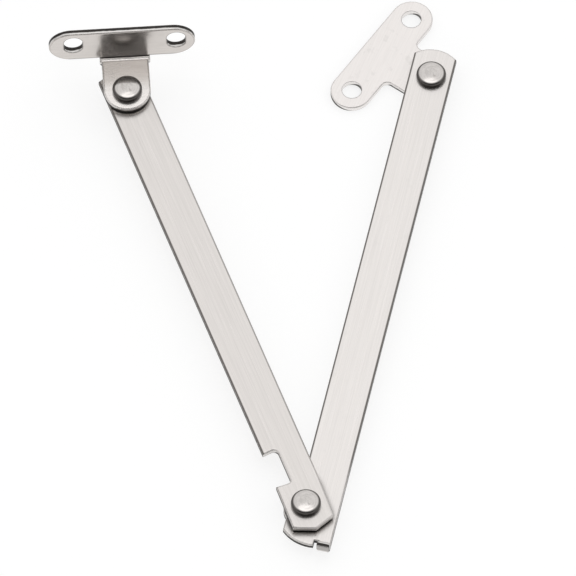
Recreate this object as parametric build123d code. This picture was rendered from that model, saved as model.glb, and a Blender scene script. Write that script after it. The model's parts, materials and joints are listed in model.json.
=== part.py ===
from build123d import *
import os
from math import asin, cos, degrees, radians, sin, sqrt

# Two-arm lid stay in stainless strip.
#
# A flat plate bracket screws to the side of a cabinet and an angle bracket to its lid. Two arms join
# them, with a riveted pivot at each end and a riveted elbow between. The stop arm ends in a tongue that
# is bent up at right angles. When the stay opens past straight, the tongue runs into the notch in the
# edge of the notched arm and holds it there.
#
# Frame: the origin lies midway between the plate bracket's two screw holes, on its back face. +Y runs
# along the line of those holes, +X from them to the plate pivot, and +Z out of the plate, towards the
# arms. All pivots turn about +Z. The stay lies flat on the back of its plate bracket, part-way open.

# ---- Sheet and arms -------------------------------------------------------------------------------
sheet = 1.5                     # thickness of every stamped piece
edge_break = 0.2                # small chamfer that tumbling leaves along the stamped outlines
arm_width = 10.2
notched_arm_centres = 121.75    # elbow to bracket pivot
stop_arm_centres = 124.35       # plate pivot to elbow

# ---- Rest pose, in degrees ------------------------------------------------------------------------
stop_arm_direction = -68.4      # from the plate pivot to the elbow, measured from +X
elbow_opening = 34.3            # between the two arms' lines of pivots
bracket_swing = -16.6           # angle bracket's stem, measured from the notched arm's line

# ---- Rivets and washers ---------------------------------------------------------------------------
shank_radius = 2.0
running_clearance = 0.05        # round each shank, in the pieces that turn on it
axial_play = 0.05               # under each head and over each washer
head_radius = 3.55
head_rim = 1.05                 # height of the head's upright side
head_dome = 0.7                 # rise of the dome above that side
head_shoulder = 0.55            # rounding between side and dome
tail_radius = 3.1
tail_height = 1.1
tail_shoulder = 0.45            # chamfer on the tail's rim
countersink_radius = 3.1        # flush tail in the back of the plate bracket
countersink_depth = 1.1
washer_radius = 4.5
washer_thickness = 0.45         # under the notched arm and under the angle bracket
spacer_thickness = 0.8          # between the plate bracket and the stop arm

# ---- Both brackets: a pair of wings with a screw hole in each, and a stem ------------------------
wing_length = 34.8              # tip to tip
wing_shift = 0.65               # from the stem's centre line to the middle of the wings
screw_spacing = 24.5
stem_overhang = 5.3             # from the pivot to the stem's round end

# ---- Plate bracket --------------------------------------------------------------------------------
plate_wing_width = 10.0
plate_stem_width = 12.0
plate_reach = 14.0              # from the screws' line to the plate pivot
plate_screw_radius = 2.35
plate_corner = 1.5              # rounding between wings and stem

# ---- Angle bracket --------------------------------------------------------------------------------
tab_width = 11.2
flange_wing_width = 10.8
flange_reach = 9.05             # from the bracket pivot to the flange's inner face
flange_bend = 0.5               # inner radius of the bend
bend_shoulder = 0.4             # how much wider than the tab the bend is at each side
wing_rise = 0.25                # from the end of the bend to the lower edge of the wings
slot_width = 4.5
slot_length = 6.4
slot_lift = 0.8                 # how far above the middle of the wings the slots sit

# ---- Notched arm ----------------------------------------------------------------------------------
end_shoulder = 5.0              # from the elbow to the corners of the pointed end
end_point = 7.0                 # from the elbow to its point
far_shoulder = 5.9              # the same two sizes beyond the bracket pivot
far_point = 7.9
notched_offset = 0.4            # from the elbow pivot to the arm's centre line
notch_web = 1.05                # from the elbow pivot's line to the floor of the notch
notch_start = 6.9               # from the elbow to the lower side of the notch
notch_length = 9.5              # along the arm's edge
notch_rake = 0.5                # how much further the upper side reaches at its inner end
notch_inner_round = 1.2
notch_lower_round = 0.8
lip_proud = 0.2                 # how far the edge below the notch stands out of the arm's edge
lip_flare = 0.25                # how much further it stands out at the arm's end
end_taper = 0.45                # how far the other edge draws in over the same stretch

# ---- Stop arm -------------------------------------------------------------------------------------
stop_offset = 2.75              # from the elbow pivot to the arm's centre line
plate_end_offset = 0.2          # from the centre line on to the plate pivot
head_end_radius = 7.65          # arc of the upper end, about the plate pivot
lobe_radius = 5.3               # round the elbow pivot
lobe_blend = 3.0                # between the lobe and the arm's edge
foot_side = 4.05                # from the elbow pivot to the straight side of the foot
foot_radius = 9.55              # arc of the foot, about the arm's centre line
tongue_width = 3.0
tongue_reach = 9.25             # from the elbow pivot to the tongue's inner face
tongue_bend = 0.7               # inner radius of the bend
tongue_over = 0.2               # how far the tongue stands above the notched arm
relief_width = 1.05             # cut beside the tongue that frees it from the foot
relief_length = 0.55            # from the cut's inner end to the start of the bend

# ---- Levels, each piece's lower face --------------------------------------------------------------
layer_gap = washer_thickness + axial_play
spacer_gap = spacer_thickness + axial_play
stop_level = sheet + spacer_gap
notched_level = stop_level + sheet + layer_gap
tab_level = notched_level + sheet + layer_gap

plate_pivot_offset = stop_offset + plate_end_offset

# ---- Pivots and directions in the rest pose -------------------------------------------------------
plate_pivot = Vector(plate_reach, wing_shift)
elbow = plate_pivot + Vector(stop_arm_centres, 0).rotate(Axis.Z, stop_arm_direction)
stop_line = stop_arm_direction + 180
notched_line = stop_line + elbow_opening
bracket_pivot = elbow + Vector(notched_arm_centres, 0).rotate(Axis.Z, notched_line)
stem_line = notched_line + bracket_swing


def disc(radius, height, x=0.0, y=0.0):
    """Upright cylinder standing on z = 0."""
    return Pos(x, y, 0) * extrude(Circle(radius), height)


def soften(solid, keep_sharp=()):
    """Break the outline of a flat sheet piece on both faces, but not the edges at y in keep_sharp."""
    faces = solid.faces().filter_by(Plane.XY).sort_by(Axis.Z)
    edges = faces[0].outer_wire().edges() + faces[-1].outer_wire().edges()
    chosen = [edge for edge in edges
              if not any(abs(edge.center().Y - y) < 1e-6 and abs(edge.tangent_at(0).X) > 0.99
                         for y in keep_sharp)]
    return chamfer(chosen, edge_break)


def wings(width, hole, middle, lift=0.0):
    """Outline of two wings along X, off the stem at x = 0, with holes on both sides of x = middle."""
    tip = (wing_length - width) / 2
    outline = Pos(-wing_shift, 0) * Rectangle(2 * tip, width)
    for side in (-1, 1):
        outline += Pos(side * tip - wing_shift, 0) * Circle(width / 2)
    for side in (-1, 1):
        outline -= Pos(middle + side * screw_spacing / 2, lift) * hole
    return outline


def stem_end(width, length):
    """Outline of a stem that runs from y = length down to its round end beyond the pivot at the origin."""
    centre = width / 2 - stem_overhang
    straight = length - centre
    outline = Pos(0, centre + straight / 2) * Rectangle(width, straight)
    return outline + Pos(0, centre) * Circle(width / 2)


def bend(width, inner_radius):
    """Quarter turn of sheet about an axis along X: it leaves y = 0 going +Y, and ends going +Z."""
    centre = (0, sheet + inner_radius)
    ring = Pos(*centre) * (Circle(inner_radius + sheet) - Circle(inner_radius))
    size = inner_radius + sheet
    quarter = ring & Pos(size / 2, centre[1] - size / 2) * Rectangle(size, size)
    solid = extrude(Plane.YZ * quarter, width / 2, both=True)
    arcs = solid.edges().filter_by(GeomType.CIRCLE)
    return chamfer(arcs, edge_break)


def plate_bracket():
    """Flat bracket: wings along Y, and a stem along +X with the rivet's countersunk hole."""
    stem = Pos(0, -plate_reach) * stem_end(plate_stem_width, plate_reach)
    outline = wings(plate_wing_width, Circle(plate_screw_radius), -wing_shift) + stem
    corners = [v for v in outline.vertices()
               if abs(abs(v.X) - plate_stem_width / 2) < 1e-6
               and abs(v.Y + plate_wing_width / 2) < 1e-6]
    solid = soften(extrude(fillet(corners, plate_corner), sheet))
    solid -= disc(shank_radius, sheet, 0, -plate_reach)
    cone = Cone(countersink_radius, shank_radius, countersink_depth)
    solid -= Pos(0, -plate_reach, countersink_depth / 2) * cone
    return Pos(0, wing_shift, 0) * Rot(Z=90) * solid


def angle_bracket():
    """Tab on the pivot at the origin, and a flange with slotted wings that stands up across +Y."""
    bend_width = tab_width + 2 * bend_shoulder
    bend_start = flange_reach - flange_bend
    widening = Pos(0, bend_start) * Rot(Z=180) * Trapezoid(
        bend_width, bend_shoulder, 45, align=(Align.CENTER, Align.MIN))
    outline = stem_end(tab_width, bend_start) + widening
    tab = soften(extrude(outline, sheet), keep_sharp=(bend_start,))
    tab -= disc(shank_radius + running_clearance, sheet)
    turn = Pos(0, bend_start, 0) * bend(bend_width, flange_bend)
    bend_top = sheet + flange_bend
    wing_centre = bend_top + wing_rise + flange_wing_width / 2
    root_height = wing_centre - bend_top
    slot = Rot(Z=90) * SlotOverall(slot_length, slot_width)
    outline = wings(flange_wing_width, slot, 0, slot_lift)
    outline += Pos(0, -flange_wing_width / 4 - root_height / 2) * Rectangle(
        bend_width, root_height - flange_wing_width / 2)
    flange = soften(extrude(outline, sheet), keep_sharp=(-root_height,))
    flange = Pos(0, flange_reach + sheet, wing_centre) * Rot(X=90) * flange
    return tab + turn + flange


def notched_arm():
    """Strip from the elbow at the origin along +Y, with pointed ends and the notch in its -X edge."""
    left = notched_offset - arm_width / 2
    right = notched_offset + arm_width / 2
    lip = left - lip_proud
    notch_end = notch_start + notch_length
    top = sqrt(notched_arm_centres ** 2 - notched_offset ** 2)
    outline = Polygon(
        (0, -end_point), (right - end_taper, -end_shoulder), (right, notch_start),
        (right, top + far_shoulder), (notched_offset, top + far_point), (left, top + far_shoulder),
        (left, notch_end), (-notch_web, notch_end + notch_rake), (-notch_web, notch_start),
        (lip, notch_start), (lip - lip_flare, -end_shoulder), align=None)
    inner = outline.vertices().sort_by_distance((-notch_web, notch_end + notch_rake))[0]
    outline = fillet(inner, notch_inner_round)
    lower = outline.vertices().sort_by_distance((-notch_web, notch_start))[0]
    outline = fillet(lower, notch_lower_round)
    solid = soften(extrude(outline, sheet))
    solid -= disc(shank_radius + running_clearance, sheet)
    return solid - disc(shank_radius, sheet, notched_offset, top)


def tongue():
    """Bent tongue: it leaves the arm at its right edge going -Y, and stands up towards +Z."""
    right = stop_offset + arm_width / 2
    height = sheet + layer_gap + sheet + tongue_over
    bend_start = tongue_reach - tongue_bend
    bend_top = sheet + tongue_bend
    turn = Pos(0, bend_start, 0) * bend(tongue_width, tongue_bend)
    upright = Pos(0, tongue_reach + sheet / 2, bend_top) * extrude(
        Rectangle(tongue_width, sheet), height - bend_top)
    top = upright.faces().sort_by(Axis.Z)[-1]
    upright = chamfer(upright.edges().filter_by(Axis.Z) + top.edges(), edge_break)
    return Pos(right - tongue_width / 2, 0, 0) * Rot(Z=180) * (turn + upright)


def stop_arm():
    """Strip from the elbow at the origin along +Y, offset to +X, with a lobe, a foot and the tongue."""
    left = stop_offset - arm_width / 2
    right = stop_offset + arm_width / 2
    top = sqrt(stop_arm_centres ** 2 - plate_pivot_offset ** 2)
    bend_start = tongue_reach - tongue_bend
    body = Pos(stop_offset, top / 2) * Rectangle(arm_width, top)
    body += Pos(stop_offset, top) * (Circle(head_end_radius) & Pos(0, head_end_radius / 2) * Rectangle(
        arm_width, head_end_radius))
    lobe = Circle(lobe_radius)
    foot_height = tongue_reach + sheet
    foot = Pos((right - foot_side) / 2, -foot_height / 2) * Rectangle(right + foot_side, foot_height)
    foot &= Pos(stop_offset, 0) * Circle(foot_radius)
    relief_left = right - tongue_width - relief_width
    beyond = Pos((relief_left + right) / 2, -bend_start - foot_height / 2) * Rectangle(
        right - relief_left, foot_height)
    cut = Pos(relief_left + relief_width / 2, -bend_start) * Rectangle(relief_width, 2 * relief_length)
    root = Pos(right - tongue_width / 2, -bend_start / 2) * Rectangle(tongue_width, bend_start)
    outline = body + lobe + foot - beyond + root - cut
    corner = outline.vertices().sort_by_distance((left, sqrt(lobe_radius ** 2 - left ** 2)))[0]
    outline = fillet(corner, lobe_blend)
    solid = soften(extrude(outline, sheet), keep_sharp=(-bend_start,))
    solid += tongue()
    solid -= disc(shank_radius, sheet)
    return solid - disc(shank_radius + running_clearance, sheet, plate_pivot_offset, top)


def washer(thickness):
    """Flat washer standing on z = 0."""
    ring = Circle(washer_radius) - Circle(shank_radius + running_clearance)
    return extrude(ring, thickness)


def rivet(grip, flush):
    """Domed rivet whose head sits at z = grip; its tail is flush in a countersink, or a low button."""
    rim = grip + head_rim
    crown = rim + head_dome
    dome_radius = (head_radius ** 2 + head_dome ** 2) / (2 * head_dome)
    half_turn = asin(head_radius / dome_radius) / 2
    on_dome = (dome_radius * sin(half_turn), crown - dome_radius * (1 - cos(half_turn)))
    if flush:
        tail = [(0, 0), (countersink_radius, 0), (shank_radius, countersink_depth)]
    else:
        tail = [(0, -tail_height), (tail_radius, -tail_height), (tail_radius, 0), (shank_radius, 0)]
    side = Polyline(*tail, (shank_radius, grip), (head_radius, grip), (head_radius, rim))
    dome = ThreePointArc((head_radius, rim), on_dome, (0, crown))
    half = make_face((side + dome + Line((0, crown), tail[0])).edges())
    half = fillet(half.vertices().sort_by_distance((head_radius, rim))[0], head_shoulder)
    if not flush:
        half = chamfer(half.vertices().sort_by_distance(tail[1])[0], tail_shoulder)
    return revolve(Plane.XZ * half, Axis.Z)


def place(solid, point, direction, level):
    """Move a piece whose own +Y axis leaves its pivot, so that it leaves point in that direction."""
    return Pos(point.X, point.Y, level) * Rot(Z=direction - 90) * solid


stop_arm_axis = stop_line + degrees(asin(plate_pivot_offset / stop_arm_centres))
notched_arm_axis = notched_line + degrees(asin(notched_offset / notched_arm_centres))
joint_grip = sheet + layer_gap + sheet + axial_play
plate_grip = sheet + spacer_gap + sheet + axial_play

pieces = {
    "plate_bracket": plate_bracket(),
    "plate_washer": place(washer(spacer_thickness), plate_pivot, 90, sheet),
    "plate_rivet": place(rivet(plate_grip, flush=True), plate_pivot, 90, 0),
    "stop_arm": place(stop_arm(), elbow, stop_arm_axis, stop_level),
    "elbow_washer": place(washer(washer_thickness), elbow, 90, stop_level + sheet),
    "elbow_rivet": place(rivet(joint_grip, flush=False), elbow, 90, stop_level),
    "notched_arm": place(notched_arm(), elbow, notched_arm_axis, notched_level),
    "bracket_washer": place(washer(washer_thickness), bracket_pivot, 90, notched_level + sheet),
    "bracket_rivet": place(rivet(joint_grip, flush=False), bracket_pivot, 90, notched_level),
    "angle_bracket": place(angle_bracket(), bracket_pivot, stem_line, tab_level),
}

os.makedirs("parts", exist_ok=True)
for name, piece in pieces.items():
    export_step(piece, f"parts/{name}.step")
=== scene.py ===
"""A lid stay in brushed stainless strip: two riveted arms, a screw plate and an angle bracket."""

import json
import logging
import math
from abc import ABC, abstractmethod
from dataclasses import dataclass, replace
from enum import Enum
from functools import reduce

import bmesh
import bpy
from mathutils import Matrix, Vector


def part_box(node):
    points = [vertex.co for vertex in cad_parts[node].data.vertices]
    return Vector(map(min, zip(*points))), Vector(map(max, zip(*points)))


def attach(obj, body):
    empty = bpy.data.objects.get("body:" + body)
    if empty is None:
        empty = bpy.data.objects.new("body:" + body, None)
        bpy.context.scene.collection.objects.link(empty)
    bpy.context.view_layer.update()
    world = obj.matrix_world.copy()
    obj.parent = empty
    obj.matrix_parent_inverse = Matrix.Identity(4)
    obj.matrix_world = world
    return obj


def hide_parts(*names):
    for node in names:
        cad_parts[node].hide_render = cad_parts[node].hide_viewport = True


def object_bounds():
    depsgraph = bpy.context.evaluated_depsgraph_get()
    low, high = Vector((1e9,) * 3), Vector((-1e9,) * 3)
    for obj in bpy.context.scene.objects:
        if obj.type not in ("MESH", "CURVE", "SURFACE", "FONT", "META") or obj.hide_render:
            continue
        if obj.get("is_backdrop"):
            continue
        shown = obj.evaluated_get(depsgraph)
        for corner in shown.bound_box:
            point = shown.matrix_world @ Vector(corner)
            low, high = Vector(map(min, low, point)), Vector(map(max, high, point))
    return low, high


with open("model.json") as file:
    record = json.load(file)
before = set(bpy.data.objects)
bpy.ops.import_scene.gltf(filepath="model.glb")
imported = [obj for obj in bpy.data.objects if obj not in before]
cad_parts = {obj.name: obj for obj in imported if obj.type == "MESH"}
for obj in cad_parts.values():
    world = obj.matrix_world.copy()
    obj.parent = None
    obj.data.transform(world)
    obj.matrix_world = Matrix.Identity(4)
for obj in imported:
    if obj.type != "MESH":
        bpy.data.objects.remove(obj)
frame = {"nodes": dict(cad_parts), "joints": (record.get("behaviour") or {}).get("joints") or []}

Triple = tuple[float, float, float]
Tone = tuple[float, float, float]
Span = tuple[float, float]
Socket = bpy.types.NodeSocket

MM = 0.001
WELD = 1e-6
TINY = 0.01 * MM
# painted dark reflection along the rounded edges of the sheets
DARK_EDGE_REFLECTION: Tone = (0.11, 0.10, 0.092)
# painted shade where pieces meet and at the root of a bend
PAINTED_SHADE_TONE: Tone = (0.05, 0.047, 0.045)
WHITE = (1.0, 1.0, 1.0, 1.0)
log = logging.getLogger("lid_stay")


class Grain(Enum):
    """The way the fine scratches of a finish run."""

    STRAIGHT = "straight"
    ROUND = "round"


def toward(heading: float) -> Triple:
    """Return the level unit vector at a heading in degrees."""
    around = math.radians(heading)
    return math.cos(around), math.sin(around), 0.0


class Wiring:
    """Adds and joins the nodes of one node tree."""

    MIX_SHARE, MIX_LOW, MIX_HIGH, MIX_COLOUR = 0, 6, 7, 2

    def __init__(self, tree: bpy.types.NodeTree) -> None:
        """Take the empty shader or geometry node tree to wire."""
        self.tree = tree

    def add(self, kind: str, inputs: dict | None = None, **settings: object) -> bpy.types.Node:
        """Add a node, set it up and feed its inputs.

        Args:
            kind: the node's type name.
            inputs: a value or an output socket for each named or numbered input.
            settings: the node's own properties.

        Returns:
            The new node.
        """
        node = self.tree.nodes.new(kind)
        for key, value in settings.items():
            setattr(node, key, value)
        for key, value in (inputs or {}).items():
            if isinstance(value, Socket):
                self.tree.links.new(value, node.inputs[key])
            else:
                node.inputs[key].default_value = value
        return node

    def math(self, operation: str, *values: object) -> Socket:
        """Do one sum on numbers or sockets and return its output socket."""
        return self.add("ShaderNodeMath", dict(enumerate(values)), operation=operation).outputs[0]

    def times(self, *values: object) -> Socket:
        """Multiply numbers or sockets in their order and return the product's socket."""
        return reduce(lambda product, value: self.math("MULTIPLY", product, value), values)

    def vector(self, operation: str, *values: object) -> Socket:
        """Do one sum on vectors and return the socket of the vector it gives."""
        node = self.add("ShaderNodeVectorMath", dict(enumerate(values)), operation=operation)
        return node.outputs["Vector"]

    def dot(self, one: object, other: object) -> Socket:
        """Return the socket of two vectors' dot product."""
        node = self.add("ShaderNodeVectorMath", {0: one, 1: other}, operation="DOT_PRODUCT")
        return node.outputs["Value"]

    def parts(self, vector: Socket) -> tuple[Socket, Socket, Socket]:
        """Split a vector into the sockets of its X, Y and Z."""
        return tuple(self.add("ShaderNodeSeparateXYZ", {0: vector}).outputs)

    def blend(self, share: object, low: object, high: object) -> Socket:
        """Mix two colours by a share and return the mixed colour's socket."""
        inputs = {self.MIX_SHARE: share, self.MIX_LOW: low, self.MIX_HIGH: high}
        return self.add("ShaderNodeMix", inputs, data_type="RGBA").outputs[self.MIX_COLOUR]

    def spread(self, value: object, low: float, high: float, to_low: float = 0.0,
               to_high: float = 1.0) -> Socket:
        """Stretch one range of a value smoothly over another.

        Args:
            value: the socket to stretch.
            low: the value that gives to_low.
            high: the value that gives to_high.
            to_low: the result at low and beyond.
            to_high: the result at high and beyond.

        Returns:
            The stretched value's socket.
        """
        inputs = {"Value": value, "From Min": low, "From Max": high, "To Min": to_low,
                  "To Max": to_high}
        return self.add("ShaderNodeMapRange", inputs, interpolation_type="SMOOTHSTEP").outputs[0]


def cleared(owner: bpy.types.Material | bpy.types.World) -> Wiring:
    """Give a material or world an empty node tree.

    Args:
        owner: the new material or world.

    Returns:
        The tree's wiring.
    """
    owner.use_nodes = True
    owner.node_tree.nodes.clear()
    return Wiring(owner.node_tree)


def put_in_scene(name: str, data: bpy.types.ID) -> bpy.types.Object:
    """Make an object of a mesh, lamp or camera and put it in the scene.

    Args:
        name: the object's name.
        data: what it shows.

    Returns:
        The new object, at the origin.
    """
    made = bpy.data.objects.new(name, data)
    bpy.context.scene.collection.objects.link(made)
    return made


@dataclass
class Coat:
    """A finish while its layers are laid on: where each point lies and how it looks so far.

    The spot is the object's own coordinates and the height its Z, in metres. The place is in
    millimetres with X along the grain, or, where the grain is round, X round it and Y its radius.
    The agreement is 1 where a surface is flat and falls where its edge rounds.
    """

    wiring: Wiring
    spot: Socket
    place: Socket
    height: Socket
    agreement: Socket
    grain: Socket
    colour: Socket
    rough: Socket
    normal: Socket

    EDGE_LINE = (0.998, 0.93)

    def paint(self, share: object, tone: Tone) -> None:
        """Lay a tone over the colour by a share."""
        self.colour = self.wiring.blend(share, self.colour, (*tone, 1.0))

    def edge_line(self) -> Socket:
        """Return a socket that is 1 along the rounded edges and 0 on the flat."""
        return self.wiring.spread(self.agreement, *self.EDGE_LINE)


class Layer(ABC):
    """One thing that lies over a steel finish in some places."""

    @abstractmethod
    def lay(self, coat: Coat) -> None:
        """Change the coat in the places where this layer lies."""


@dataclass(frozen=True)
class DarkEdgeReflection(Layer):
    """A painted dark reflection along every edge of a sheet."""

    share: float
    tone: Tone = DARK_EDGE_REFLECTION

    def lay(self, coat: Coat) -> None:
        """Paint the dark reflection along the edges of the coat."""
        coat.paint(coat.wiring.times(coat.edge_line(), self.share), self.tone)


@dataclass(frozen=True)
class Rails(Layer):
    """Painted dark reflection in the rolled edges along a strip, by distance from its middle line
    and elbow in mm.
    """

    strength: Span
    inner: float = 4.6
    soft: float = 0.2
    start: float = 5.5
    fade: float = 12.0
    middle: Span = (-1.0, 1.0)
    tone: Tone = DARK_EDGE_REFLECTION

    def lay(self, coat: Coat) -> None:
        """Paint the dark reflection on both long edges, each by its own strength.

        Args:
            coat: the arm's finish so far, laid out from the elbow along the middle line.
        """
        wiring = coat.wiring
        along, across, _ = wiring.parts(coat.place)
        near = wiring.spread(wiring.math("ABSOLUTE", across), self.inner, self.inner + self.soft)
        strip = wiring.spread(along, self.start, self.start + self.fade)
        rolled = wiring.times(near, wiring.math("MAXIMUM", strip, coat.edge_line()))
        strength = wiring.spread(across, *self.middle, *self.strength)
        # painted dark reflection on the rolled long edges
        coat.paint(wiring.times(rolled, strength), self.tone)


@dataclass(frozen=True)
class SeatShade(Layer):
    """Painted shade on the low wall of a rivet head where it sits down, between two heights in mm.
    """

    span: Span
    tone: Tone = (0.012, 0.011, 0.010)

    def lay(self, coat: Coat) -> None:
        """Paint shade on the coat below the band's upper height."""
        low, high = (level * MM for level in self.span)
        coat.paint(coat.wiring.spread(coat.height, low, high, 1.0, 0.0), self.tone)


@dataclass(frozen=True)
class ShoulderShade(Layer):
    """A ring of painted shade round the shoulder of a rivet head, between two radii in mm."""

    share: float = 0.92
    span: Span = (3.12, 3.46)
    tone: Tone = (0.055, 0.050, 0.046)

    def lay(self, coat: Coat) -> None:
        """Paint shade on the coat outside the ring's inner radius, which its place gives as Y."""
        ring = coat.wiring.spread(coat.wiring.parts(coat.place)[1], *self.span)
        coat.paint(coat.wiring.times(ring, self.share), self.tone)


@dataclass(frozen=True)
class GapShade(Layer):
    """Painted shade in the gaps between pieces over one stretch of an arm, sizes in mm."""

    along: Span
    share: float = 0.85
    reach: float = 1.4
    open_sky: Span = (0.38, 0.76)
    fade: float = 4.0
    tone: Tone = PAINTED_SHADE_TONE
    samples: int = 8

    def lay(self, coat: Coat) -> None:
        """Paint shade on the coat where another piece stands close.

        Args:
            coat: the arm's finish so far, laid out from the elbow along the middle line.
        """
        wiring = coat.wiring
        first, last = self.along
        # painted shade: darkens where ambient occlusion finds another piece close by
        gap = wiring.add("ShaderNodeAmbientOcclusion", {"Distance": self.reach * MM},
                         samples=self.samples).outputs["AO"]
        hidden = wiring.spread(gap, *self.open_sky, 1.0, 0.0)
        along = wiring.parts(coat.place)[0]
        stretch = wiring.times(wiring.spread(along, first - self.fade, first),
                               wiring.spread(along, last, last + self.fade, 1.0, 0.0))
        coat.paint(wiring.times(hidden, stretch, self.share), self.tone)


@dataclass(frozen=True)
class Bend:
    """Where a sheet turns up, by distance from a pivot along a heading in degrees, sizes in mm.

    It takes in what lies more than beside to the left of that line. The foot is the level above
    which the sheet stands upright.
    """

    pivot: Triple
    heading: float
    reach: float
    foot: float
    beside: float = -100.0
    room: float = 0.7

    def follow(self, coat: Coat, normal: Socket, facing: Socket,
               depth: Socket) -> tuple[Socket, Socket]:
        """Carry the sheet's faces and depth round the bend.

        Args:
            coat: the finish so far.
            normal: the surface's direction.
            facing: how squarely the surface faces up or down.
            depth: how far below the punched face a point lies.

        Returns:
            How squarely the surface faces the sheet's thickness, and the depth, with the bend.
        """
        wiring = coat.wiring
        out = toward(self.heading)
        arm = wiring.vector("SUBTRACT", coat.spot, self.pivot)
        reach = wiring.dot(arm, out)
        side = wiring.dot(arm, toward(self.heading + 90.0))
        bent = wiring.times(wiring.math("GREATER_THAN", side, self.beside * MM),
                            wiring.math("GREATER_THAN", reach, (self.reach - self.room) * MM))
        flat = wiring.math("LESS_THAN", coat.height, self.foot * MM)
        square = wiring.math("ABSOLUTE", wiring.dot(normal, out))
        past = wiring.times(bent, wiring.math("SUBTRACT", reach, self.reach * MM))
        return (wiring.math("MAXIMUM", wiring.times(facing, flat), wiring.times(square, bent)),
                wiring.math("MAXIMUM", depth, past))


@dataclass(frozen=True)
class Upright(Layer):
    """What stands up past a bend: its painted shade and polish, painted shade at its root and the
    bend's spring back.
    """

    bend: Bend
    tone: Tone
    share: float = 1.0
    polish: float = 0.0
    root_height: float = 0.0
    root_shade_tone: Tone = PAINTED_SHADE_TONE
    spring_back: float = 0.0

    def sprung(self, coat: Coat, upright: Socket) -> Socket:
        """Tilt the shading by the little that the bend springs back.

        Args:
            coat: the finish so far.
            upright: a socket that is 1 on the bent-up part.

        Returns:
            The tilted normal's socket.
        """
        wiring = coat.wiring
        outward = wiring.add("ShaderNodeVectorTransform", {0: toward(self.bend.heading)},
                             vector_type="VECTOR", convert_from="OBJECT",
                             convert_to="WORLD").outputs[0]
        lean = -math.tan(math.radians(self.spring_back))
        slope = wiring.times(wiring.dot(coat.normal, outward), upright, lean)
        rise = wiring.add("ShaderNodeCombineXYZ", {"Z": slope}).outputs[0]
        return wiring.vector("NORMALIZE", wiring.vector("ADD", coat.normal, rise))

    def lay(self, coat: Coat) -> None:
        """Finish the bent-up part, with painted shade over it and at its root.

        Args:
            coat: the finish so far.
        """
        wiring = coat.wiring
        foot = self.bend.foot
        upright = wiring.math("GREATER_THAN", coat.height, foot * MM)
        coat.rough = wiring.math("SUBTRACT", coat.rough, wiring.times(upright, self.polish))
        # painted shade: the bent-up faces take a darker tone than the flat
        coat.paint(wiring.times(upright, self.share), self.tone)
        if self.root_height:
            # painted shade at the root of the bend
            root = wiring.spread(coat.height, (foot + self.root_height / 2) * MM,
                                 (foot + self.root_height) * MM, 1.0, 0.0)
            coat.paint(wiring.times(root, upright), self.root_shade_tone)
        if self.spring_back:
            coat.normal = self.sprung(coat, upright)


@dataclass(frozen=True)
class SheetSide(Layer):
    """The cut sides of a punched sheet: burnished next to the punched face, torn below it.

    The sheet's thickness and the punched face's level are in mm. The tear line is a share of the
    thickness. The bright side shift moves it deeper on the sides that face the bright side heading,
    in degrees, and the rim shift where the edge rounds over upwards: these paint light on the sides
    that face that way and shade on the others. The torn band's near-black tone is partly its own
    dull colour and partly painted shade.
    """

    sheet: float
    punched_level: float
    bend: Bend | None = None
    burnished: Tone = (0.66, 0.64, 0.62)
    torn_and_shade: Tone = (0.045, 0.041, 0.038)
    tear_line: Span = (0.22, 0.34)
    burnished_roughness: float = 0.24
    torn_roughness: float = 0.5
    bright_side_heading: float = 0.0
    bright_side_shift: float = 0.0
    rim_shift: float = 0.0
    side_facing: Span = (0.25, 0.6)
    ragged_scale: float = 900.0
    ragged_share: float = 0.25

    def torn_share(self, coat: Coat, normal: Socket, depth: Socket) -> Socket:
        """Find where the side is torn.

        Args:
            coat: the finish so far.
            normal: the surface's direction.
            depth: how far below the punched face a point lies.

        Returns:
            A socket that is 0 where the side is burnished and 1 where it is torn.
        """
        wiring = coat.wiring
        noise = wiring.add("ShaderNodeTexNoise", {
            "Vector": coat.spot, "Scale": self.ragged_scale}).outputs[0]
        ragged = wiring.times(wiring.math("SUBTRACT", noise, 0.5), self.ragged_share)
        line = wiring.math("ADD", wiring.math("DIVIDE", depth, self.sheet * MM), ragged)
        # painted light and shade: sides facing the bright side heading are burnished further down,
        # the others come out torn and dark
        if self.bright_side_shift:
            tight = wiring.times(wiring.dot(normal, toward(self.bright_side_heading)), self.bright_side_shift)
            line = wiring.math("SUBTRACT", line, tight)
        # painted light: edges that round over upwards are burnished further down
        if self.rim_shift:
            rise = wiring.times(wiring.parts(normal)[2], self.rim_shift)
            line = wiring.math("SUBTRACT", line, rise)
        return wiring.spread(line, *self.tear_line)

    def lay(self, coat: Coat) -> None:
        """Give the cut sides their tone, partly painted light and shade, and their roughness.

        Args:
            coat: the finish so far.
        """
        wiring = coat.wiring
        normal = wiring.add("ShaderNodeTexCoord").outputs["Normal"]
        facing = wiring.math("ABSOLUTE", wiring.parts(normal)[2])
        depth = wiring.math("SUBTRACT", self.punched_level * MM, coat.height)
        if self.bend:
            facing, depth = self.bend.follow(coat, normal, facing, depth)
        torn_and_shade = self.torn_share(coat, normal, depth)
        cut = wiring.spread(facing, *self.side_facing, 1.0, 0.0)
        # the torn tone is partly the torn band's own dull colour and partly painted shade
        sheared = wiring.blend(torn_and_shade, (*self.burnished, 1.0), (*self.torn_and_shade, 1.0))
        coat.colour = wiring.blend(cut, coat.colour, sheared)
        rough = wiring.spread(torn_and_shade, 0.0, 1.0, self.burnished_roughness, self.torn_roughness)
        change = wiring.times(cut, wiring.math("SUBTRACT", rough, coat.rough))
        coat.rough = wiring.math("ADD", coat.rough, change)


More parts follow.
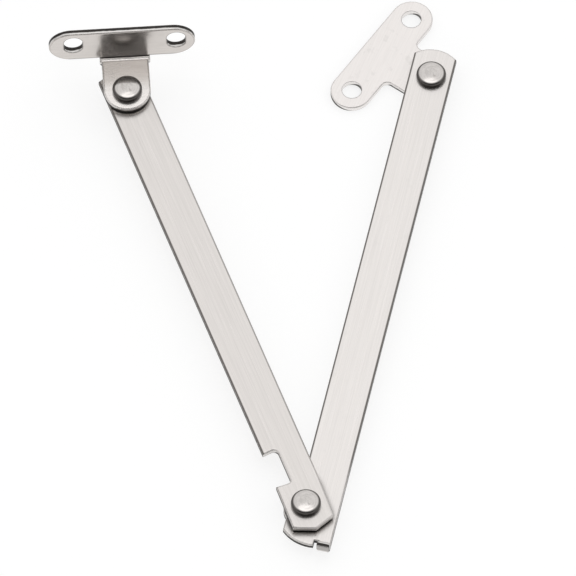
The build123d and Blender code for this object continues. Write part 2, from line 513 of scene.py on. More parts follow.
@dataclass(frozen=True)
class SteelFinish:
    """Bare stainless steel with a fine grain, a tone of its own along rounded edges and faint
    handling marks, sizes in mm.
    """

    name: str
    tone: Tone
    streak_tone: Tone
    roughness: float
    roughness_swing: float
    grain_width: float
    grain_length: float
    grain_depth: float
    grain: Grain = Grain.STRAIGHT
    edge_tone: Tone = (0.84, 0.82, 0.80)
    edge_round: float = 0.4
    mark_size: float = 3.2
    mark_strength: float = 0.0
    mark_tone: Tone = (0.68, 0.655, 0.635)
    turn: float = 0.0
    centre: Triple = (0.0, 0.0, 0.0)
    layers: tuple[Layer, ...] = ()

    FINE_SHARE, FINE_DETAIL = 0.65, 3.0
    BROAD_SHARE, BROAD_DETAIL, BROAD_WIDTH = 0.35, 2.0, 3.5
    NOISE_ROUGHNESS = 0.6
    STREAKS = (0.38, 0.62)
    ROUGH_STREAKS = (0.3, 0.7)
    MARKS, MARK_DETAIL, MARK_ROUGH = (0.6, 0.75), 2.0, 0.12
    WORN, WORN_SHARE = (0.995, 0.86), 0.4
    BEVEL_SAMPLES = 8
    BUMP_STRENGTH = 0.35

    def laid_out(self, wiring: Wiring, spot: Socket) -> Socket:
        """Lay a piece's coordinates out, in millimetres, with X along the grain.

        Args:
            wiring: the material's wiring.
            spot: the object's own coordinates.

        Returns:
            The socket of the laid out coordinates.
        """
        local = wiring.add("ShaderNodeMapping", {
            "Vector": spot, "Location": self.centre,
            "Rotation": (0.0, 0.0, math.radians(self.turn)), "Scale": (MM, MM, MM)},
            vector_type="TEXTURE").outputs[0]
        if self.grain is Grain.STRAIGHT:
            return local
        across, along, height = wiring.parts(local)
        angle = wiring.math("ARCTAN2", along, across)
        length = wiring.add("ShaderNodeVectorMath", {0: local}, operation="LENGTH")
        return wiring.add("ShaderNodeCombineXYZ", {
            "X": angle, "Y": length.outputs["Value"], "Z": height}).outputs[0]

    def streaks(self, wiring: Wiring, place: Socket, widen: float, detail: float) -> Socket:
        """Make noise drawn out along the grain.

        Args:
            wiring: the material's wiring.
            place: the laid out coordinates.
            widen: how many times wider than the finest grain.
            detail: the noise's octaves.

        Returns:
            The noise's socket, from 0 to 1.
        """
        long, wide = 1 / (self.grain_length * widen), 1 / (self.grain_width * widen)
        drawn = wiring.add("ShaderNodeMapping", {"Vector": place, "Scale": (long, wide, wide)})
        return wiring.add("ShaderNodeTexNoise", {
            "Vector": drawn.outputs[0], "Scale": 1.0, "Detail": detail,
            "Roughness": self.NOISE_ROUGHNESS}).outputs[0]

    def base(self, wiring: Wiring) -> Coat:
        """Make the bare steel with its grain, marks and a tone of its own along rounded edges.

        Args:
            wiring: the material's wiring.

        Returns:
            The coat for the layers to lie on.
        """
        spot = wiring.add("ShaderNodeTexCoord").outputs["Object"]
        place = self.laid_out(wiring, spot)
        fine = self.streaks(wiring, place, 1.0, self.FINE_DETAIL)
        broad = self.streaks(wiring, place, self.BROAD_WIDTH, self.BROAD_DETAIL)
        grain = wiring.math("ADD", wiring.times(fine, self.FINE_SHARE),
                            wiring.times(broad, self.BROAD_SHARE))
        cloud = wiring.add("ShaderNodeTexNoise", {
            "Vector": place, "Scale": 1 / self.mark_size, "Detail": self.MARK_DETAIL}).outputs[0]
        marks = wiring.spread(cloud, *self.MARKS)
        rounded = wiring.add("ShaderNodeBevel", {"Radius": self.edge_round * MM},
                             samples=self.BEVEL_SAMPLES).outputs[0]
        flat = wiring.add("ShaderNodeNewGeometry").outputs["Normal"]
        colour = wiring.blend(wiring.spread(grain, *self.STREAKS), (*self.streak_tone, 1.0),
                              (*self.tone, 1.0))
        rough = wiring.spread(grain, *self.ROUGH_STREAKS, self.roughness + self.roughness_swing,
                              self.roughness - self.roughness_swing)
        rougher = wiring.math("ADD", rough,
                              wiring.times(marks, self.MARK_ROUGH * self.mark_strength))
        coat = Coat(wiring, spot, place, height=wiring.parts(spot)[2],
                    agreement=wiring.dot(flat, rounded), grain=grain, colour=colour,
                    rough=rougher, normal=rounded)
        coat.paint(wiring.times(marks, self.mark_strength), self.mark_tone)
        # a tone of its own along rounded edges, lighter or darker than the face by finish
        edge_band = wiring.spread(coat.agreement, *self.WORN)
        coat.paint(wiring.times(edge_band, self.WORN_SHARE), self.edge_tone)
        return coat

    def material(self) -> bpy.types.Material:
        """Build the finish as a material.

        Returns:
            The new material.
        """
        made = bpy.data.materials.new(self.name)
        wiring = cleared(made)
        coat = self.base(wiring)
        for layer in self.layers:
            layer.lay(coat)
        bump = wiring.add("ShaderNodeBump", {
            "Height": coat.grain, "Strength": self.BUMP_STRENGTH,
            "Distance": self.grain_depth * MM, "Normal": coat.normal}).outputs[0]
        shader = wiring.add("ShaderNodeBsdfPrincipled", {
            "Base Color": coat.colour, "Metallic": 1.0, "Roughness": coat.rough, "Normal": bump})
        wiring.add("ShaderNodeOutputMaterial", {"Surface": shader.outputs[0]})
        return made


STOP_ARM_STEEL = SteelFinish(
    name="stop_arm_brushed", tone=(0.815, 0.78, 0.757), streak_tone=(0.74, 0.71, 0.688),
    roughness=0.30, roughness_swing=0.035, edge_round=0.5, grain_width=0.09,
    grain_length=16.0, grain_depth=0.005, mark_strength=0.25, layers=(DarkEdgeReflection(0.35),))
NOTCHED_ARM_STEEL = replace(
    STOP_ARM_STEEL, name="notched_arm_brushed", tone=(0.75, 0.715, 0.69),
    streak_tone=(0.665, 0.635, 0.612))
PLATE_STEEL = SteelFinish(
    name="plate_satin", tone=(0.845, 0.808, 0.787), streak_tone=(0.80, 0.765, 0.745),
    roughness=0.33, roughness_swing=0.02, grain_width=0.12, grain_length=5.0,
    grain_depth=0.002, mark_size=2.2, mark_strength=0.45, layers=(DarkEdgeReflection(0.3),))
BRACKET_STEEL = SteelFinish(
    name="bracket_satin", tone=(0.90, 0.862, 0.835), streak_tone=(0.83, 0.794, 0.765),
    edge_tone=(0.86, 0.84, 0.82), roughness=0.25, roughness_swing=0.03, edge_round=0.5,
    grain_width=0.12, grain_length=8.0, grain_depth=0.003, mark_strength=0.3,
    layers=(DarkEdgeReflection(0.85),))
RIVET_STEEL = SteelFinish(
    name="rivet_steel", grain=Grain.ROUND, tone=(0.655, 0.625, 0.603),
    streak_tone=(0.543, 0.517, 0.498), edge_tone=(0.60, 0.58, 0.57), edge_round=0.12,
    roughness=0.17, roughness_swing=0.04, grain_width=0.3, grain_length=0.9, grain_depth=0.012,
    mark_size=1.3, mark_strength=0.85, mark_tone=(0.42, 0.395, 0.378))
WASHER_STEEL = SteelFinish(
    name="washer_steel", grain=Grain.ROUND, tone=(0.60, 0.58, 0.565),
    streak_tone=(0.52, 0.50, 0.49), edge_tone=(0.68, 0.66, 0.65), edge_round=0.1,
    roughness=0.34, roughness_swing=0.04, grain_width=0.25, grain_length=2.0, grain_depth=0.004)


def joint_place(name: str) -> Vector:
    """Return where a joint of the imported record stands."""
    return Vector(next(joint["pos_m"] for joint in frame["joints"] if joint["name"] == name))


def strip_axis(node: str) -> tuple[Vector, float]:
    """Find the middle line of a packed arm's strip by its long straight sides.

    Args:
        node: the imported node's name.

    Returns:
        A point on the middle line, level with the elbow, and the line's heading in degrees.
    """
    long_share, in_line = 0.5, 0.001
    mesh = frame["nodes"][node].data
    ends = [[mesh.vertices[index].co for index in edge.vertices] for edge in mesh.edges]
    level = [(start, end) for start, end in ends if abs(start.z - end.z) < TINY]
    start, end = max(level, key=lambda run: (run[1] - run[0]).length)
    longest = (end - start).length
    along = (end - start).normalized()
    if along.y < 0:
        along = -along
    across = Vector((-along.y, along.x, 0.0))
    offsets = [start.dot(across) for start, end in level
               if (end - start).length > long_share * longest
               and abs((end - start).normalized().dot(across)) < in_line]
    halfway = (min(offsets) + max(offsets)) / 2
    middle = across * halfway + along * joint_place("elbow").dot(along)
    return middle, math.degrees(math.atan2(along.y, along.x))


def dress_node(node: str, finish: SteelFinish) -> None:
    """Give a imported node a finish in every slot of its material.

    Args:
        node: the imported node's name.
        finish: the finish it gets.
    """
    made = finish.material()
    for slot in frame["nodes"][node].material_slots:
        slot.material = made
    log.info("%s dressed in %s", node, finish.name)


class TurnedTree:
    """A geometry node tree that turns a profile about its pivot, wherever a point marks one."""

    CORE = 1.0 * MM
    SMOOTH_BELOW = 38.0

    def __init__(self, name: str, sizes: dict[str, float], facets: int) -> None:
        """Start the tree and name its inputs.

        Args:
            name: the tree's name.
            sizes: each named size and its value in millimetres.
            facets: how many facets go round.
        """
        self.tree = bpy.data.node_groups.new(name, "GeometryNodeTree")
        self.wiring = Wiring(self.tree)
        face = self.tree.interface
        face.new_socket(name="Pivots", in_out="INPUT", socket_type="NodeSocketGeometry")
        face.new_socket(name="Pieces", in_out="OUTPUT", socket_type="NodeSocketGeometry")
        self.sizes = {key: value * MM for key, value in sizes.items()}
        for key in self.sizes:
            face.new_socket(name=key, in_out="INPUT", socket_type="NodeSocketFloat")
        face.new_socket(name="Facets", in_out="INPUT", socket_type="NodeSocketInt")
        face.new_socket(name="Steel", in_out="INPUT", socket_type="NodeSocketMaterial")
        self.given = self.wiring.add("NodeGroupInput")
        self.facets = facets

    def size(self, name: str) -> Socket:
        """Return the socket that carries a named size."""
        return self.given.outputs[name]

    def corner(self, radius: object, height: object) -> Socket:
        """Place one corner of the profile.

        Args:
            radius: its distance from the pivot, as a number or a socket.
            height: its height above the pivot's zero, as a number or a socket.

        Returns:
            The corner's socket.
        """
        outward = self.wiring.math("SUBTRACT", radius, self.CORE)
        downward = self.wiring.times(height, -1.0)
        return self.wiring.add("ShaderNodeCombineXYZ", {"X": outward, "Y": downward}).outputs[0]

    def straight(self, *corners: Socket) -> list[Socket]:
        """Draw straight runs from corner to corner and return their curves' sockets."""
        return [self.wiring.add("GeometryNodeCurvePrimitiveLine", {
            "Start": start, "End": end}).outputs[0] for start, end in zip(corners, corners[1:])]

    def curved(self, start: Socket, middle: Socket, end: Socket, steps: int) -> Socket:
        """Draw a run that bends towards its middle corner and return its curve's socket."""
        return self.wiring.add("GeometryNodeCurveQuadraticBezier", {
            "Resolution": steps, "Start": start, "Middle": middle, "End": end}).outputs[0]

    def close(self, runs: list[Socket]) -> None:
        """Turn the runs about the pivot, weld them and set them on the marked points.

        Args:
            runs: the curves of the profile, in any order.
        """
        wiring = self.wiring
        profile = wiring.add("GeometryNodeJoinGeometry")
        for run in runs:
            self.tree.links.new(run, profile.inputs[0])
        ring = wiring.add("GeometryNodeCurvePrimitiveCircle", {
            "Resolution": self.given.outputs["Facets"], "Radius": self.CORE})
        skin = wiring.add("GeometryNodeCurveToMesh", {
            "Curve": ring.outputs[0], "Profile Curve": profile.outputs[0]})
        whole = wiring.add("GeometryNodeMergeByDistance", {
            "Geometry": skin.outputs[0], "Distance": WELD})
        set_down = wiring.add("GeometryNodeInstanceOnPoints", {
            "Points": self.given.outputs["Pivots"], "Instance": whole.outputs[0]})
        real = wiring.add("GeometryNodeRealizeInstances", {"Geometry": set_down.outputs[0]})
        steel = wiring.add("GeometryNodeSetMaterial", {
            "Geometry": real.outputs[0], "Material": self.given.outputs["Steel"]})
        wiring.add("NodeGroupOutput", {0: steel.outputs[0]})

    def make(self, name: str, pivot: Vector, steel: bpy.types.Material) -> bpy.types.Object:
        """Run the tree at one pivot and keep the result as a plain mesh.

        Args:
            name: the piece's name.
            pivot: where the profile's axis stands and its zero height lies.
            steel: the piece's material.

        Returns:
            The finished piece, at the origin with its place in its mesh.
        """
        mark = bpy.data.meshes.new(name)
        mark.from_pydata([pivot], [], [])
        piece = put_in_scene(name, mark)
        modifier = piece.modifiers.new(self.tree.name, "NODES")
        modifier.node_group = self.tree
        values = {**self.sizes, "Facets": self.facets, "Steel": steel}
        for item in self.tree.interface.items_tree:
            if item.in_out == "INPUT" and item.name in values:
                modifier[item.identifier] = values[item.name]
        state = bpy.context.evaluated_depsgraph_get()
        turned = bpy.data.meshes.new_from_object(piece.evaluated_get(state))
        piece.modifiers.clear()
        piece.data = turned
        self.point_outward(turned)
        return piece

    def point_outward(self, mesh: bpy.types.Mesh) -> None:
        """Face the mesh outwards and shade it smooth up to a sharp corner.

        Args:
            mesh: the turned mesh, changed in place.
        """
        work = bmesh.new()
        work.from_mesh(mesh)
        bmesh.ops.remove_doubles(work, verts=work.verts, dist=WELD)
        bmesh.ops.recalc_face_normals(work, faces=work.faces)
        work.to_mesh(mesh)
        work.free()
        mesh.shade_smooth()
        mesh.set_sharp_from_angle(angle=math.radians(self.SMOOTH_BELOW))


@dataclass
class Rivet:
    """A domed rivet with a button tail or one dressed flush in its countersink, sizes in mm."""

    node: str
    body: str
    flush: bool = False
    head_radius: float = 3.55
    rim_height: float = 1.05
    dome_height: float = 0.7
    crown_drop: float = 0.24
    shoulder: float = 0.8
    shank_radius: float = 2.0
    button_radius: float = 3.1
    button_wall: float = 0.65
    button_chamfer: float = 0.45
    sink_radius: float = 3.1
    sink_depth: float = 1.1
    seat_shade_band: Span = (0.72, 1.12)
    facets: int = 72
    crown_steps: int = 12
    shoulder_steps: int = 7

    def sizes(self, height: float) -> dict[str, float]:
        """List the sizes of the whole profile.

        Args:
            height: the rivet's full height.

        Returns:
            Each named size in millimetres.
        """
        tail = {"Tail Radius": self.button_radius, "Tail Cone": 0.0,
                "Tail Wall": self.button_wall, "Tail Chamfer": self.button_chamfer}
        if self.flush:
            tail = {"Tail Radius": self.sink_radius, "Tail Cone": self.sink_depth,
                    "Tail Wall": 0.0, "Tail Chamfer": 0.0}
        below = tail["Tail Cone"] + tail["Tail Wall"] + tail["Tail Chamfer"]
        shank = height - self.rim_height - self.dome_height - below
        head = {"Head Radius": self.head_radius, "Rim Height": self.rim_height,
                "Dome Height": self.dome_height, "Crown Drop": self.crown_drop,
                "Shoulder": self.shoulder, "Shank Radius": self.shank_radius,
                "Shank Length": shank}
        return {**head, **tail}

    def head_runs(self, turned: TurnedTree) -> list[Socket]:
        """Draw the head from the middle of its crown down to its seat.

        Args:
            turned: the tree that turns the profile.

        Returns:
            The curves of the crown, the shoulder and the wall.
        """
        sums, size, corner = turned.wiring.math, turned.size, turned.corner
        top = sums("ADD", size("Rim Height"), size("Dome Height"))
        flat = sums("SUBTRACT", size("Head Radius"), size("Shoulder"))
        brow = sums("SUBTRACT", top, size("Crown Drop"))
        slope = sums("DIVIDE", sums("MULTIPLY", size("Crown Drop"), 2.0), flat)
        edge = sums("SUBTRACT", brow, sums("MULTIPLY", slope, size("Shoulder")))
        side = sums("SUBTRACT", edge, size("Shoulder"))
        halfway = sums("MULTIPLY", flat, 0.5)
        head = size("Head Radius")
        return [turned.curved(corner(0.0, top), corner(halfway, top), corner(flat, brow),
                              self.crown_steps),
                turned.curved(corner(flat, brow), corner(head, edge), corner(head, side),
                              self.shoulder_steps),
                *turned.straight(corner(head, side), corner(head, 0.0))]

    def shank_runs(self, turned: TurnedTree) -> list[Socket]:
        """Draw the seat, the shank and the tail down to the middle of its end.

        Args:
            turned: the tree that turns the profile.

        Returns:
            The curves of the straight runs.
        """
        sums, size, corner = turned.wiring.math, turned.size, turned.corner
        neck = sums("MULTIPLY", size("Shank Length"), -1.0)
        wide = sums("SUBTRACT", neck, size("Tail Cone"))
        wall = sums("SUBTRACT", wide, size("Tail Wall"))
        end = sums("SUBTRACT", wall, size("Tail Chamfer"))
        flat_end = sums("SUBTRACT", size("Tail Radius"), size("Tail Chamfer"))
        head, shank, tail = size("Head Radius"), size("Shank Radius"), size("Tail Radius")
        return turned.straight(
            corner(head, 0.0), corner(shank, 0.0), corner(shank, neck), corner(tail, wide),
            corner(tail, wall), corner(flat_end, end), corner(0.0, end))

    def build(self) -> None:
        """Turn the rivet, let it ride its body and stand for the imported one."""
        low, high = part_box(self.node)
        middle = (low + high) / 2
        seat = high.z - (self.rim_height + self.dome_height) * MM
        pivot = Vector((middle.x, middle.y, seat))
        # painted shade on the head's low wall, and below a ring of painted shade round its shoulder
        seat_shade = SeatShade(tuple(seat / MM + height for height in self.seat_shade_band))
        steel = replace(RIVET_STEEL, name=f"{self.node}_steel", centre=tuple(pivot),
                        layers=(seat_shade, ShoulderShade())).material()
        turned = TurnedTree(self.node, self.sizes((high.z - low.z) / MM), self.facets)
        turned.close(self.head_runs(turned) + self.shank_runs(turned))
        piece = turned.make(f"{self.node}_turned", pivot, steel)
        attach(piece, self.body)
        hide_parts(self.node)
        log.info("%s turned with %d faces", self.node, len(piece.data.polygons))


@dataclass
class Washer:
    """A flat washer with broken edges, sizes in mm."""

    node: str
    body: str
    bore_radius: float = 2.05
    broken_edge: float = 0.08
    facets: int = 64

    def profile(self, turned: TurnedTree) -> list[Socket]:
        """Draw the washer's outline.

        Args:
            turned: the tree that turns the profile.

        Returns:
            The curves of the outline.
        """
        sums, size, corner = turned.wiring.math, turned.size, turned.corner
        bore, outer, top = size("Bore Radius"), size("Outer Radius"), size("Thickness")
        broken = size("Broken Edge")
        lip = sums("SUBTRACT", outer, broken)
        upper = sums("SUBTRACT", top, broken)
        return turned.straight(
            corner(bore, 0.0), corner(lip, 0.0), corner(outer, broken), corner(outer, upper),
            corner(lip, top), corner(bore, top), corner(bore, 0.0))

    def build(self) -> None:
        """Turn the washer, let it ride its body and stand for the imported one."""
        low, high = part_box(self.node)
        middle = (low + high) / 2
        pivot = Vector((middle.x, middle.y, low.z))
        sizes = {"Bore Radius": self.bore_radius, "Outer Radius": (high.x - low.x) / 2 / MM,
                 "Thickness": (high.z - low.z) / MM, "Broken Edge": self.broken_edge}
        steel = replace(WASHER_STEEL, name=f"{self.node}_steel", centre=tuple(pivot)).material()
        turned = TurnedTree(self.node, sizes, self.facets)
        turned.close(self.profile(turned))
        piece = turned.make(f"{self.node}_turned", pivot, steel)
        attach(piece, self.body)
        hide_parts(self.node)
        log.info("%s turned with %d faces", self.node, len(piece.data.polygons))


@dataclass
class PlateEnd:
    """The flat screw plate with its spacer washer and flush rivet, sizes in mm."""

    sheet: float = 1.5
    grain_turn: float = 104.0
    # painted light and shade on the cut sides: the bright side heading lightens the sides facing
    # it, and the torn tone is partly painted shade
    bright_side_heading: float = 5.5
    bright_side_shift: float = 0.7
    burnished: Tone = (0.86, 0.83, 0.81)
    torn_and_shade: Tone = (0.12, 0.115, 0.11)
    tear_line: Span = (0.4, 0.6)
    end_radius: float = 6.0
    packed_overhang: float = 5.3
    overhang: float = 4.45
    end_margin: float = 0.5
    side_rise: float = 0.5
    smooth_below: float = 30.0

    def finish(self) -> SteelFinish:
        """Lay the plate's finish out along its grain.

        Returns:
            The finish with its cut sides.
        """
        _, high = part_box("plate_bracket")
        side = SheetSide(self.sheet, high.z / MM, burnished=self.burnished, torn_and_shade=self.torn_and_shade,
                         tear_line=self.tear_line, bright_side_heading=self.bright_side_heading,
                         bright_side_shift=self.bright_side_shift)
        return replace(PLATE_STEEL, turn=self.grain_turn, layers=(*PLATE_STEEL.layers, side))

    def shorten_end(self, mesh: bpy.types.Mesh) -> None:
        """Draw the stem's round end back, so that the arm over it hides it.

        Args:
            mesh: a copy of the plate's mesh, changed in place.
        """
        pivot = joint_place("plate_pivot")
        centre_x = pivot.x - (self.end_radius - self.packed_overhang) * MM
        back = (self.packed_overhang - self.overhang) * MM
        inner = (self.end_radius - self.end_margin) * MM
        work = bmesh.new()
        work.from_mesh(mesh)
        bmesh.ops.remove_doubles(work, verts=work.verts, dist=WELD)
        for point in work.verts:
            off = Vector((point.co.x - centre_x, point.co.y - pivot.y))
            if off.x > -TINY and off.length > inner:
                point.co.x -= back
        bmesh.ops.recalc_face_normals(work, faces=work.faces)
        for face in work.faces:
            face.smooth = abs(face.normal.z) < self.side_rise
        work.to_mesh(mesh)
        work.free()
        mesh.attributes.remove(mesh.attributes["custom_normal"])
        mesh.set_sharp_from_angle(angle=math.radians(self.smooth_below))

    def shape_plate(self) -> None:
        """Make the plate with its shorter end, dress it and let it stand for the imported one."""
        steel = self.finish().material()
        mesh = frame["nodes"]["plate_bracket"].data.copy()
        mesh.name = "screw_plate"
        self.shorten_end(mesh)
        mesh.materials.clear()
        mesh.materials.append(steel)
        plate = put_in_scene("screw_plate", mesh)
        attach(plate, "plate")
        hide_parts("plate_bracket")
        log.info("screw_plate shaped with %d faces", len(mesh.polygons))

    def build(self) -> None:
        """Shape the plate and turn its rivet and spacer."""
        self.shape_plate()
        Washer("plate_washer", "plate").build()
        Rivet("plate_rivet", "plate", flush=True).build()


@dataclass
class StopArm:
    """The arm with the foot and bent tongue, and the elbow rivet that it carries, sizes in mm."""

    sheet: float = 1.5
    line: float = 111.6
    tongue_reach: float = 9.25
    tongue_from: float = 4.4
    tongue_foot: float = 0.45
    # painted shade on the tongue's upright faces
    tongue_shade_tone: Tone = (0.42, 0.40, 0.385)
    rail_strength: Span = (0.9, 0.9)
    # painted shadow under the notched arm's end at the elbow
    gap_shade: GapShade = GapShade(along=(-30.0, 7.0), reach=2.4, open_sky=(0.45, 0.86),
                         tone=(0.02, 0.018, 0.016))

    def finish(self) -> SteelFinish:
        """Lay the arm's finish out along its strip.

        Returns:
            The finish with its rolled edges' painted reflection, the tongue's painted shade, the
            cut sides and painted shade at the elbow.
        """
        low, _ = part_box("stop_arm")
        punched = low.z / MM + self.sheet
        bend = Bend(tuple(joint_place("elbow")), self.line + 180.0, self.tongue_reach,
                    punched + self.tongue_foot, self.tongue_from)
        layers = (Rails(self.rail_strength), Upright(bend, self.tongue_shade_tone),
                  SheetSide(self.sheet, punched, bend), self.gap_shade)
        middle, heading = strip_axis("stop_arm")
        return replace(STOP_ARM_STEEL, turn=heading, centre=tuple(middle),
                       layers=(*STOP_ARM_STEEL.layers, *layers))

    def build(self) -> None:
        """Dress the arm along its own line and turn the elbow's rivet and washer."""
        dress_node("stop_arm", self.finish())
        Washer("elbow_washer", "stop_arm").build()
        Rivet("elbow_rivet", "stop_arm").build()


@dataclass
class NotchedArm:
    """The arm with the pointed ends and the notch, and its bracket rivet, sizes in mm."""

    sheet: float = 1.5
    # painted light and shade on the cut sides: the bright side heading and the near-black torn tone
    bright_side_heading: float = 350.0
    bright_side_shift: float = 0.5
    torn_and_shade: Tone = (0.10, 0.093, 0.087)
    tear_line: Span = (0.36, 0.5)
    rail_strength: Span = (0.45, 0.9)
    # painted shade under the bracket's tab
    gap_shade: GapShade = GapShade(along=(108.0, 200.0))

    def finish(self) -> SteelFinish:
        """Lay the arm's finish out along its strip.

        Returns:
            The finish with its rolled edges' painted reflection, cut sides and painted shade under
            the tab.
        """
        _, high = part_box("notched_arm")
        side = SheetSide(self.sheet, high.z / MM, torn_and_shade=self.torn_and_shade, tear_line=self.tear_line,
                         bright_side_heading=self.bright_side_heading, bright_side_shift=self.bright_side_shift)
        middle, heading = strip_axis("notched_arm")
        layers = (*NOTCHED_ARM_STEEL.layers, Rails(self.rail_strength), side, self.gap_shade)
        return replace(NOTCHED_ARM_STEEL, turn=heading, centre=tuple(middle), layers=layers)

    def build(self) -> None:
        """Dress the arm along its own line and turn the bracket's rivet and washer."""
        dress_node("notched_arm", self.finish())
        Washer("bracket_washer", "notched_arm").build()
        Rivet("bracket_rivet", "notched_arm").build()


@dataclass
class AngleBracket:
    """The bent bracket with its tab and slotted flange, sizes in mm and angles in degrees."""

    sheet: float = 1.5
    stem_line: float = 129.3
    flange_reach: float = 9.05
    flange_foot: float = 0.45
    # painted shade: the flange's upright face takes a darker tone than the tab
    flange_shade_tone: Tone = (0.50, 0.465, 0.435)
    flange_share: float = 0.55
    flange_polish: float = 0.06
    root_height: float = 0.85
    spring_back: float = 5.5
    # painted light and shade on the cut sides: the bright side heading, the rim shift and the torn
    # tone
    tear_line: Span = (0.12, 0.24)
    bright_side_shift: float = 0.3
    rim_shift: float = 0.22

    def finish(self) -> SteelFinish:
        """Lay the bracket's finish out across its stem.

        Returns:
            The finish with its flange's painted shade and cut sides.
        """
        low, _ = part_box("angle_bracket")
        punched = low.z / MM + self.sheet
        bend = Bend(tuple(joint_place("bracket_pivot")), self.stem_line, self.flange_reach,
                    punched + self.flange_foot)
        flange = Upright(bend, self.flange_shade_tone, self.flange_share, self.flange_polish,
                         self.root_height, spring_back=self.spring_back)
        side = SheetSide(self.sheet, punched, bend, tear_line=self.tear_line,
                         bright_side_heading=self.stem_line + 180.0, bright_side_shift=self.bright_side_shift,
                         rim_shift=self.rim_shift)
        return replace(BRACKET_STEEL, turn=self.stem_line + 90.0,
                       layers=(*BRACKET_STEEL.layers, flange, side))

    def build(self) -> None:
        """Dress the bracket with its grain across the stem."""
        dress_node("angle_bracket", self.finish())


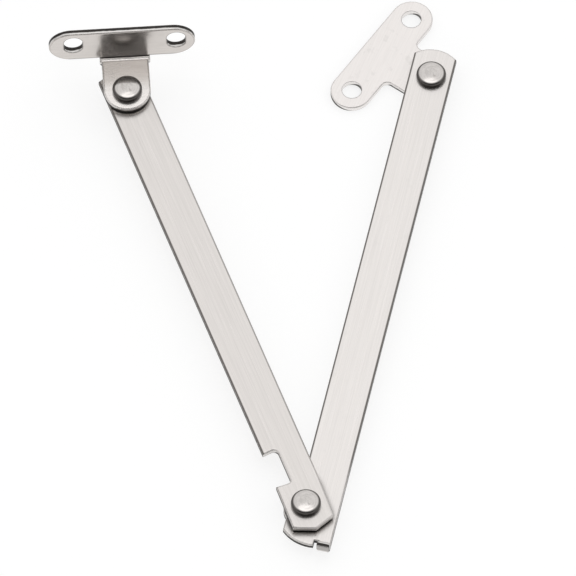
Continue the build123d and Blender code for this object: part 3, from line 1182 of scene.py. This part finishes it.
@dataclass
class Studio:
    """A white floor, a soft room with a dim front and skyline, a weak lamp and a distant camera.

    Lengths are in metres and angles in degrees. Each dim span runs from full light to full dimming
    or back, so that steel shows a dark patch where it mirrors the front of the room.
    """

    azimuth: float = 35.5
    elevation: float = 58.0
    distance: float = 5.5
    view_width: float = 136.3 * MM
    aim_across: float = -4.22 * MM
    aim_along: float = 59.95 * MM
    aim_height: float = 5.85 * MM
    clip_reach: float = 22.0
    floor_size: float = 20.0
    floor_gap: float = 0.02 * MM
    floor_tone: float = 0.30
    floor_glow: float = 0.75
    room_level: float = 1.0
    dim_level: float = 0.04
    dim_top: Span = (56.0, 63.0)
    dim_foot: Span = (26.0, 38.0)
    dim_sides: Span = (85.0, 40.0)
    skyline: Span = (3.0, 24.0)
    skyline_share: float = 0.6
    key_turn: float = 180.0
    key_rise: float = 82.0
    key_power: float = 1.2
    key_size: float = 0.9
    key_reach: float = 1.8

    def heading(self, turn: float, rise: float) -> Vector:
        """Point from the object, turned from the camera's side and raised, in degrees.

        Args:
            turn: how far round from the camera's side, anticlockwise from above.
            rise: how far above the floor.

        Returns:
            The unit vector.
        """
        around = math.radians(self.azimuth - 90.0 + turn)
        up = math.radians(rise)
        level = math.cos(up)
        return Vector((math.cos(around) * level, math.sin(around) * level, math.sin(up)))

    def place_camera(self) -> None:
        """Stand the camera far off and aim it between the arms."""
        across = Vector(toward(self.azimuth))
        along = Vector(toward(self.azimuth + 90.0))
        aim = joint_place("elbow") + across * self.aim_across + along * self.aim_along
        aim.z = self.aim_height
        back = self.heading(0.0, self.elevation)
        lens = bpy.data.cameras.new("camera")
        lens.lens = lens.sensor_width * self.distance / self.view_width
        lens.clip_end = self.clip_reach
        camera = put_in_scene("camera", lens)
        camera.location = aim + back * self.distance
        camera.rotation_euler = (-back).to_track_quat("-Z", "Y").to_euler()
        bpy.context.scene.camera = camera

    def paper(self) -> bpy.types.Material:
        """Make the floor's white paper, which looks white by its glow and keeps soft shadows.

        Returns:
            The new material.
        """
        made = bpy.data.materials.new("white_paper")
        wiring = cleared(made)
        tone = (self.floor_tone, self.floor_tone, self.floor_tone, 1.0)
        matt = wiring.add("ShaderNodeBsdfDiffuse", {"Color": tone}).outputs[0]
        rays = wiring.add("ShaderNodeLightPath").outputs
        seen = wiring.math("MAXIMUM", rays["Is Camera Ray"], rays["Is Glossy Ray"])
        lift = wiring.times(seen, self.floor_glow)
        glow = wiring.add("ShaderNodeEmission", {"Strength": lift}).outputs[0]
        both = wiring.add("ShaderNodeAddShader", {0: matt, 1: glow}).outputs[0]
        wiring.add("ShaderNodeOutputMaterial", {"Surface": both})
        return made

    def lay_floor(self) -> None:
        """Lay the white floor just under the object."""
        low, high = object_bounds()
        middle = (low + high) / 2
        half = self.floor_size / 2
        corners = [(middle.x + x * half, middle.y + y * half, low.z - self.floor_gap)
                   for x, y in ((-1, -1), (1, -1), (1, 1), (-1, 1))]
        sheet = bpy.data.meshes.new("floor")
        sheet.from_pydata(corners, [], [(0, 1, 2, 3)])
        sheet.materials.append(self.paper())
        floor = put_in_scene("floor", sheet)
        floor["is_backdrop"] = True

    def dimming(self, wiring: Wiring) -> Socket:
        """Find how dim each part of the room is.

        Args:
            wiring: the world's wiring.

        Returns:
            A socket that is 0 in full light and 1 in the dimmest part.
        """
        ray = wiring.add("ShaderNodeTexCoord").outputs["Generated"]
        rise = wiring.math("ARCSINE", wiring.parts(ray)[2])
        level = wiring.vector("NORMALIZE", wiring.vector("MULTIPLY", ray, (1.0, 1.0, 0.0)))
        front = wiring.dot(level, self.heading(0.0, 0.0))
        facing = wiring.spread(front, *(math.cos(math.radians(side)) for side in self.dim_sides))
        under = wiring.spread(rise, *map(math.radians, self.dim_top), 1.0, 0.0)
        over = wiring.spread(rise, *map(math.radians, self.dim_foot))
        skyline = wiring.spread(rise, *map(math.radians, self.skyline), self.skyline_share, 0.0)
        patch = wiring.times(facing, wiring.times(under, over))
        return wiring.math("MAXIMUM", patch, skyline)

    def light_room(self) -> None:
        """Fill the room with white light, dim in front and low down, and white to the camera."""
        world = bpy.data.worlds.new("room")
        bpy.context.scene.world = world
        wiring = cleared(world)
        level = wiring.spread(self.dimming(wiring), 0.0, 1.0, self.room_level, self.dim_level)
        rays = wiring.add("ShaderNodeLightPath").outputs
        strength = wiring.math("MAXIMUM", level, rays["Is Camera Ray"])
        room = wiring.add("ShaderNodeBackground", {
            "Color": WHITE, "Strength": strength})
        wiring.add("ShaderNodeOutputWorld", {"Surface": room.outputs[0]})

    def hang_lamp(self) -> None:
        """Hang one weak, soft, round lamp high above and behind."""
        lamp = bpy.data.lights.new("soft_lamp", "AREA")
        lamp.shape = "DISK"
        lamp.size = self.key_size
        lamp.energy = self.key_power
        hung = put_in_scene("soft_lamp", lamp)
        low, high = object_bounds()
        up = self.heading(self.key_turn, self.key_rise)
        hung.location = (low + high) / 2 + up * self.key_reach
        hung.rotation_euler = (-up).to_track_quat("-Z", "Y").to_euler()

    def build(self) -> None:
        """Set up the floor, light, camera and plain colour handling."""
        self.lay_floor()
        self.light_room()
        self.hang_lamp()
        self.place_camera()
        bpy.context.scene.view_settings.view_transform = "Standard"
        log.info("studio set up")


def main() -> None:
    """Build every sub-assembly in order."""
    logging.basicConfig(level=logging.INFO, format="%(message)s")
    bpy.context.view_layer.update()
    for assembly in (PlateEnd(), StopArm(), NotchedArm(), AngleBracket(), Studio()):
        assembly.build()


if __name__ == "__main__":
    main()
